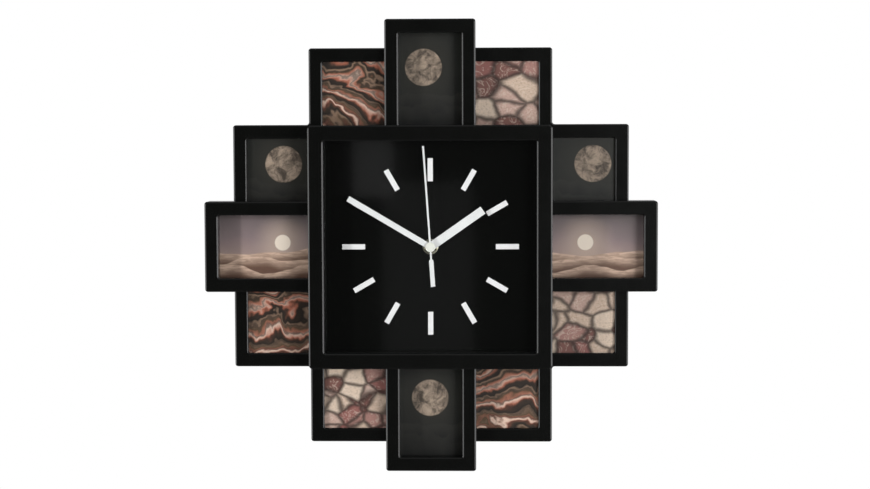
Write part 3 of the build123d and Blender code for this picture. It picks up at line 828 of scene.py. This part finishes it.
def turned_washer(material):
    """The washer under the nut, with rounded rims."""
    low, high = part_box("mounting_washer")
    radius = high.x
    thickness = high.y - low.y
    bore = radius * WASHER_BORE
    rim = thickness * WASHER_RIM
    profile = [
        (bore, 0.0),
        (bore, thickness - rim),
        (bore + rim, thickness),
        (radius - rim * 1.4, thickness),
        (radius - rim * 0.5, thickness - rim * 0.35),
        (radius, thickness - rim * 1.2),
        (radius, 0.0),
        (bore, 0.0),
    ]
    shape = bmesh.new()
    add_turned(shape, profile, placed(0.0, high.y, 0.0, "viewer"), 64)
    link_solid(shape, "washer_turned", [material], "case", "nut_brass", ["mounting_washer"])


def turned_nut(material):
    """The hexagon nut, with its corners turned off and a countersunk thread."""
    low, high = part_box("mounting_nut")
    flats = high.z
    height = high.y - low.y
    bore = flats * NUT_BORE
    rim = height * NUT_RIM
    land = flats * NUT_LAND
    half_side = math.pi / 6
    corner = flats / math.cos(half_side)
    profile = [
        (bore, 0.0),
        (bore, height - rim),
        (bore + rim, height),
        (land, height),
        (corner, height),
        (corner, 0.0),
        (bore, 0.0),
    ]
    shape = bmesh.new()
    made = add_turned(shape, profile, Matrix.Identity(4), 72)
    for vertex in made:
        angle = math.atan2(vertex.co.y, vertex.co.x)
        reach = vertex.co.xy.length
        side = flats / math.cos((angle + half_side) % (2 * half_side) - half_side)
        if reach > flats:
            vertex.co.x *= side / reach
            vertex.co.y *= side / reach
            if vertex.co.z > 0:
                vertex.co.z -= (side - land) * math.tan(NUT_CHAMFER)
    bmesh.ops.transform(shape, matrix=placed(0.0, high.y, 0.0, "viewer"), verts=made)
    link_solid(shape, "nut_turned", [material], "case", "nut_brass", ["mounting_nut"])


def hub_cap(material, radius, height):
    """The domed cap that covers the second hand's hub."""
    low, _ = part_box("second_hand")
    profile = [
        (0.0, height),
        (radius * 0.35, height * 0.96),
        (radius * 0.65, height * 0.82),
        (radius * 0.86, height * 0.58),
        (radius * 0.97, height * 0.28),
        (radius, 0.0),
        (radius * 0.96, -height * 0.2),
        (radius * 0.3, 0.0),
        (0.0, 0.0),
    ]
    shape = bmesh.new()
    add_turned(shape, profile, placed(0.0, low.y, 0.0, "viewer"))
    link_solid(shape, "hub_cap", [material], "second", "hand_white")


def cross_outline(length, width):
    """The twelve corners of an upright cross, from half its length and half its arms' width."""
    arm = (Vector((length, -width)), Vector((length, width)), Vector((width, width)))
    turns = [Matrix.Rotation(turn * math.pi / 2, 2) for turn in range(4)]
    return [turn @ corner for turn in turns for corner in arm]


def arrow_outline(radius, width, start, end):
    """A curved arrow round a knob, between two angles."""
    neck = end - ARROW_HEAD
    barb = width * ARROW_BARB
    turns = [start + (neck - start) * step / ARROW_STEPS for step in range(ARROW_STEPS + 1)]
    outer = [polar(radius + width, turn) for turn in turns]
    inner = [polar(radius - width, turn) for turn in reversed(turns)]
    tip = [polar(radius + barb, neck), polar(radius, end), polar(radius - barb, neck)]
    return outer + tip + inner


def cross_screw(shape, place, radius, height, shank_radius, shank_length):
    """Adds a pan head screw with a cross recess; Z points out of its head."""
    land = radius * SCREW_LAND
    profile = [
        (land, height),
        (radius * 0.84, height * 0.9),
        (radius * 0.96, height * 0.66),
        (radius, height * 0.36),
        (radius, 0.0),
        (shank_radius, 0.0),
        (shank_radius, shank_radius - shank_length),
        (0.0, -shank_length),
    ]
    segments = 32
    add_turned(shape, profile, place, segments)
    turns = [2 * math.pi * index / segments for index in range(segments)]
    slots = cross_outline(radius * SLOT_LENGTH, radius * SLOT_WIDTH)
    deep = height * SLOT_FLOOR
    rim = [shape.verts.new(place @ Vector((*polar(land, turn), height))) for turn in turns]
    mouth = [shape.verts.new(place @ Vector((*corner, height))) for corner in slots]
    floor = [shape.verts.new(place @ Vector((*corner * SLOT_TAPER, deep))) for corner in slots]
    edges = []
    for loop in (rim, mouth):
        edges += [shape.edges.new((loop[index - 1], loop[index])) for index in range(len(loop))]
    bmesh.ops.triangle_fill(shape, use_beauty=True, edges=edges)
    for index in range(len(mouth)):
        shape.faces.new((mouth[index - 1], mouth[index], floor[index], floor[index - 1]))
    shape.faces.new(floor)


def screw_set(material, radius, height, shank_radius):
    """The four screws that hold the bezel to the tray."""
    low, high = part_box("case_screws")
    seat = high.y - height
    turn_across, turn_up = SCREW_TURNS
    shape = bmesh.new()
    for across in (low.x + radius, high.x - radius):
        for up in (low.z + radius, high.z - radius):
            turn = Matrix.Rotation(across * turn_across + up * turn_up, 4, "Z")
            place = placed(across, seat, up, "wall") @ turn
            cross_screw(shape, place, radius, height, shank_radius, seat - low.y)
    bmesh.ops.remove_doubles(shape, verts=shape.verts, dist=SAME_POINT)
    link_solid(shape, "cross_screws", [material], "case", "screw_steel", ["case_screws"])


def dry_cell(sleeve, metal, nub):
    """The battery: a sleeve with rolled ends over a can, a flat foot and a raised cap."""
    low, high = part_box("battery")
    middle = (low + high) / 2
    radius = (high.z - low.z) / 2
    roll = radius * BATTERY_ROLL
    start = low.x
    end = high.x - nub
    wrapper = [
        (radius * 0.8, start + roll * 0.7),
        (radius * 0.84, start + roll * 0.25),
        (radius * 0.93, start + roll * 0.25),
        (radius * 0.985, start + roll * 0.8),
        (radius, start + roll * 1.8),
        (radius, end - roll * 2.4),
        (radius * 0.98, end - roll * 1.2),
        (radius * 0.92, end - roll * 0.5),
        (radius * 0.74, end - roll * 0.4),
        (radius * 0.7, end - roll * 0.9),
    ]
    foot = [
        (0.0, start),
        (radius * 0.62, start),
        (radius * 0.68, start + roll * 0.7),
        (radius * 0.8, start + roll * 0.7),
    ]
    crown = [
        (radius * 0.7, end - roll * 0.9),
        (radius * 0.44, end - roll * 0.9),
        (radius * 0.4, end - roll * 0.4),
        (radius * 0.37, end + nub * 0.6),
        (radius * 0.33, end + nub * 0.92),
        (radius * 0.27, end + nub),
        (0.0, end + nub),
    ]
    shape = bmesh.new()
    for profile, material_index in ((wrapper, 0), (foot, 1), (crown, 1)):
        add_turned(shape, profile, placed(0.0, middle.y, middle.z, "right"), 64, material_index)
    bmesh.ops.remove_doubles(shape, verts=shape.verts, dist=SAME_POINT)
    link_solid(shape, "dry_cell", [sleeve, metal], "battery", "battery_can", ["battery"])


def movement_marks(material, sizes):
    """Raised marks on the movement's cover: how the knob turns and which way round the battery goes."""
    low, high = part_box("movement_cover")
    knob_low, knob_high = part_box("setting_knob")
    knob = placed(0.0, high.y, (knob_low.z + knob_high.z) / 2, "wall")
    plus = placed(high.x - SIGN_INSET, high.y, low.z + SIGN_RISE, "wall")
    minus = placed(low.x + SIGN_INSET, high.y, low.z + SIGN_RISE, "wall")
    length = sizes.sign_length
    width = sizes.sign_width
    bar = [(-length, -width), (length, -width), (length, width), (-length, width)]
    shape = bmesh.new()
    for start in ARROW_STARTS:
        arrow = arrow_outline(sizes.arrow_radius, sizes.arrow_width, start, start + ARROW_SWEEP)
        add_plate(shape, arrow, knob, sizes.mark_height)
    add_plate(shape, cross_outline(length, width), plus, sizes.mark_height)
    add_plate(shape, bar, minus, sizes.mark_height)
    link_solid(shape, "movement_marks", [material], "case", "movement_black")


def ejector_marks(material, radius):
    """Round marks that the mould's pins leave on the back of the tray, where the gasket's front lies."""
    gasket_front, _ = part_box("rubber_gasket")
    profile = [
        (0.0, PIN_DISH),
        (radius * 0.8, PIN_DISH),
        (radius * 0.86, PIN_LIP),
        (radius, PIN_LIP),
        (radius * 1.04, 0.0),
        (0.0, 0.0),
    ]
    shape = bmesh.new()
    for across in PIN_COLUMNS:
        for up in PIN_ROWS:
            add_turned(shape, profile, placed(across, gasket_front.y, up, "wall"), 32)
    link_solid(shape, "ejector_marks", [material], "case", "back_moulding")


class CLOCK_OT_mouldings(bpy.types.Operator):
    """Rounds and finishes the picture surround and the bezel"""

    bl_idname = "clock.mouldings"
    bl_label = "Black mouldings"

    def execute(self, context):
        finishes = context.scene.clock_finishes
        grain = context.scene.clock_sizes.grain
        roughness = finishes.moulding_roughness
        black = moulded_plastic("black_moulding", finishes.moulding, roughness, grain, MOULD_DEPTH)
        rounded_copy("photo_surround", "surround_shell", black, "black_moulding")
        rounded_copy("clock_bezel", "bezel_shell", black, "black_moulding")
        return {"FINISHED"}


class CLOCK_OT_dial(bpy.types.Operator):
    """Finishes the dial and the hour markers, and turns the brass nut and its washer"""

    bl_idname = "clock.dial"
    bl_label = "Dial and markers"

    def execute(self, context):
        finishes = context.scene.clock_finishes
        dress(gloss_lacquer("dial_black", finishes.dial, finishes.dial_roughness), "dial")
        dress(white_enamel("marker_white", finishes.marker, roughness=0.4), "hour_markers")
        satin = bare_metal("washer_satin", finishes.washer, roughness=0.34, tool_marks=TURNED_MARKS)
        # The nut's darker brass colour is painted shade from the hands above it
        brass = bare_metal("nut_brass", finishes.brass, roughness=0.12, tool_marks=TURNED_MARKS)
        turned_washer(satin)
        turned_nut(brass)
        return {"FINISHED"}


class CLOCK_OT_hands(bpy.types.Operator):
    """Finishes the three hands and caps their hub"""

    bl_idname = "clock.hands"
    bl_label = "Hands"

    def execute(self, context):
        finishes = context.scene.clock_finishes
        sizes = context.scene.clock_sizes
        white = white_enamel("hand_white", finishes.white, roughness=0.35)
        cream = white_enamel("cap_cream", finishes.cap, roughness=0.4)
        dress(white, "hour_hand", "minute_hand", "second_hand")
        hub_cap(cream, sizes.cap_radius, sizes.cap_height)
        return {"FINISHED"}


class CLOCK_OT_sheets(bpy.types.Operator):
    """Finishes the lens and the clear covers of the pictures"""

    bl_idname = "clock.sheets"
    bl_label = "Clear sheets"

    def execute(self, context):
        dress(clear_sheet("clear_sheet"), "clock_lens", "square_photo_covers", "oblong_photo_covers")
        return {"FINISHED"}


class CLOCK_OT_pictures(bpy.types.Operator):
    """Prints the twelve pictures"""

    bl_idname = "clock.pictures"
    bl_label = "Pictures"

    def execute(self, context):
        print_pictures(night_picture, night_frames, first_seed=0.0, seed_step=3.1)
        print_pictures(dusk_picture, dusk_frames, first_seed=1.0, seed_step=7.3)
        print_pictures(copper_picture, copper_frames, first_seed=2.0, seed_step=4.7)
        print_pictures(rose_picture, rose_frames, first_seed=3.0, seed_step=5.9)
        return {"FINISHED"}


class CLOCK_OT_rear(bpy.types.Operator):
    """Finishes the tray, the picture backs, the screws and the gasket"""

    bl_idname = "clock.rear"
    bl_label = "Rear"

    def execute(self, context):
        finishes = context.scene.clock_finishes
        sizes = context.scene.clock_sizes
        roughness = finishes.rear_roughness
        rear = moulded_plastic("back_moulding", finishes.rear, roughness, sizes.grain, REAR_DEPTH)
        zinc = bare_metal("screw_steel", finishes.steel, roughness=0.3, tool_marks=PLATED_MARKS)
        rubber = moulded_plastic("gasket_rubber", finishes.rubber, 0.7, sizes.rubber_grain, RUBBER_DEPTH)
        dress(rear, "back_case", *("photo_back_" + name for name in all_frames))
        screw_set(zinc, sizes.screw_radius, sizes.screw_height, sizes.shank_radius)
        ejector_marks(rear, sizes.pin_radius)
        dress(rubber, "rubber_gasket")
        return {"FINISHED"}


class CLOCK_OT_movement(bpy.types.Operator):
    """Finishes the quartz movement, its gears and the battery"""

    bl_idname = "clock.movement"
    bl_label = "Movement"

    def execute(self, context):
        finishes = context.scene.clock_finishes
        sizes = context.scene.clock_sizes
        case = moulded_plastic("movement_black", finishes.movement, 0.38, sizes.grain, REAR_DEPTH)
        ivory = moulded_plastic("gear_ivory", finishes.ivory, 0.45, sizes.gear_grain, FINE_DEPTH)
        resin = moulded_plastic("board_resin", finishes.board, 0.5, sizes.board_grain, FINE_DEPTH)
        contact = bare_metal("contact_steel", finishes.steel, roughness=0.25, tool_marks=ROLLED_MARKS)
        winding = bare_metal("coil_copper", finishes.copper, roughness=0.35, tool_marks=WOUND_MARKS)
        sleeve = battery_sleeve("battery_can", finishes.sleeve, finishes.band)
        dress(case, "movement_case", "movement_cover", "setting_knob")
        dress(ivory, "rotor", "intermediate_wheel", "seconds_wheel", "third_wheel", "centre_wheel")
        dress(ivory, "minute_pipe", "minute_wheel", "hour_wheel")
        movement_marks(case, sizes)
        dry_cell(sleeve, contact, sizes.nub_height)
        dress(contact, "battery_contacts", "stator")
        dress(resin, "circuit_board")
        dress(winding, "drive_coil")
        return {"FINISHED"}


def area_light(name, power, target=TARGET, mirrored=True):
    """A soft white rectangular lamp aimed at a point, which gloss may mirror or not."""
    lamp = bpy.data.lights.new(name, "AREA")
    lamp.shape = "RECTANGLE"
    place, (lamp.size, lamp.size_y) = LAMPS[name]
    lamp.energy = power
    holder = bpy.data.objects.new(name, lamp)
    holder.visible_camera = False
    holder.visible_glossy = mirrored
    holder.location = place
    holder.rotation_mode = "QUATERNION"
    holder.rotation_quaternion = (Vector(place) - target).to_track_quat("Z", "Y")
    bpy.context.scene.collection.objects.link(holder)


def studio_lamps(settings):
    """Four soft lamps, and two dim cards that the dial mirrors."""
    area_light("key_left", settings.key_power, mirrored=False)
    area_light("soft_right", settings.soft_power)
    area_light("strip_left", settings.strip_power)
    area_light("strip_right", settings.strip_power)
    area_light("card_left", settings.card_power, CARD_TARGET)
    area_light("card_middle", settings.panel_power)


def studio_world(room_light):
    """A white cove behind the clock and a dim room in front; the camera sees white all round."""
    world = bpy.data.worlds.new("studio")
    bpy.context.scene.world = world
    world.use_nodes = True
    world.node_tree.nodes.clear()
    start = Wire(world.node_tree)
    side, depth, height = start.node("TexCoord", None, None, "Generated").axes()
    round_camera = depth.rise(-0.997, -0.9, 0.0, 0.1)
    right_wall = side.rise(0.04, 0.3, 0.0, 0.16)
    ceiling = height.rise(0.6, 0.9, 0.0, 0.15)
    room = room_light + round_camera + right_wall + ceiling
    cove = depth.rise(0.15, 0.6) * (side * 0.6 - height).rise(-0.6, 0.8, 0.35, 1.0)
    path = start.node("LightPath")
    seen = path.out("Is Camera Ray").highest(path.out("Is Transmission Ray"))
    white = cove.highest(seen)
    strength = room + white * (1.0 - room)
    sky = start.node("Background", None, {"Color": WHITE, "Strength": strength})
    start.node("OutputWorld", None, {"Surface": sky})


def pale_floor(drop, radius, glow):
    """A round pale floor below the clock, which the camera sees as nearly white."""
    shape = bmesh.new()
    bmesh.ops.create_circle(shape, cap_ends=True, segments=96, radius=radius)
    mesh = bpy.data.meshes.new("floor")
    shape.to_mesh(mesh)
    shape.free()
    material, place = new_material("floor_pale", FLOOR_TONE)
    tone = place.noise(3.0, detail=2.0).rise(0.3, 0.7).mix(*FLOOR_CLOUDS)
    matt = place.node("BsdfPrincipled", None, {"Base Color": tone, "Roughness": 0.7})
    white = place.node("Emission", None, {"Color": WHITE, "Strength": 1.0})
    seen = place.node("LightPath").out("Is Camera Ray") * glow
    close_material(place.node("MixShader", None, {"Fac": seen, 1: matt, 2: white}))
    mesh.materials.append(material)
    floor = bpy.data.objects.new("floor", mesh)
    floor.location = (0.0, 0.0, -drop)
    floor.visible_glossy = False
    bpy.context.scene.collection.objects.link(floor)


def photo_camera(settings):
    """The camera at the photograph's place."""
    data = bpy.data.cameras.new("photo_camera")
    data.sensor_width = SENSOR_WIDTH
    data.lens = settings.focal
    data.shift_x = (PHOTO_WIDTH / 2 - TARGET_ACROSS) / PHOTO_WIDTH
    data.shift_y = (TARGET_DOWN - PHOTO_HEIGHT / 2) / PHOTO_WIDTH
    camera = bpy.data.objects.new("photo_camera", data)
    bpy.context.scene.collection.objects.link(camera)
    turn = settings.azimuth
    lift = settings.elevation
    back = Vector((math.sin(turn) * math.cos(lift), -math.cos(turn) * math.cos(lift), math.sin(lift)))
    camera.location = TARGET + back * settings.distance
    camera.rotation_mode = "QUATERNION"
    level = (-back).to_track_quat("-Z", "Y")
    camera.rotation_quaternion = level @ Quaternion((0.0, 0.0, 1.0), settings.roll)
    bpy.context.scene.camera = camera


class CLOCK_OT_stage(bpy.types.Operator):
    """Sets up the floor, the light and the camera"""

    bl_idname = "clock.stage"
    bl_label = "Stage"

    def execute(self, context):
        settings = context.scene.clock_stage
        context.scene.view_settings.view_transform = "Standard"
        studio_world(settings.room_light)
        pale_floor(settings.floor_drop, settings.floor_radius, settings.floor_glow)
        studio_lamps(settings)
        photo_camera(settings)
        return {"FINISHED"}


class CLOCK_PT_sidebar(bpy.types.Panel):
    """Lists the clock's settings and its steps"""

    bl_idname = "CLOCK_PT_sidebar"
    bl_label = "Photo frame clock"
    bl_space_type = "VIEW_3D"
    bl_region_type = "UI"
    bl_category = "Clock"

    def draw(self, context):
        for group in (context.scene.clock_finishes, context.scene.clock_sizes, context.scene.clock_stage):
            for name in group.__annotations__:
                self.layout.prop(group, name)
        for operator in operators:
            self.layout.operator(operator.bl_idname)


groups = {"clock_finishes": ClockFinishes, "clock_sizes": ClockSizes, "clock_stage": ClockStage}
operators = (
    CLOCK_OT_mouldings,
    CLOCK_OT_dial,
    CLOCK_OT_hands,
    CLOCK_OT_sheets,
    CLOCK_OT_pictures,
    CLOCK_OT_rear,
    CLOCK_OT_movement,
    CLOCK_OT_stage,
)


def register():
    for name, group in groups.items():
        bpy.utils.register_class(group)
        setattr(bpy.types.Scene, name, PointerProperty(type=group))
    for operator in operators:
        bpy.utils.register_class(operator)
    bpy.utils.register_class(CLOCK_PT_sidebar)


def unregister():
    bpy.utils.unregister_class(CLOCK_PT_sidebar)
    for operator in reversed(operators):
        bpy.utils.unregister_class(operator)
    for name, group in groups.items():
        delattr(bpy.types.Scene, name)
        bpy.utils.unregister_class(group)


def main():
    register()
    bpy.ops.clock.mouldings()
    bpy.ops.clock.dial()
    bpy.ops.clock.hands()
    bpy.ops.clock.sheets()
    bpy.ops.clock.pictures()
    bpy.ops.clock.rear()
    bpy.ops.clock.movement()
    bpy.ops.clock.stage()


if __name__ == "__main__":
    main()
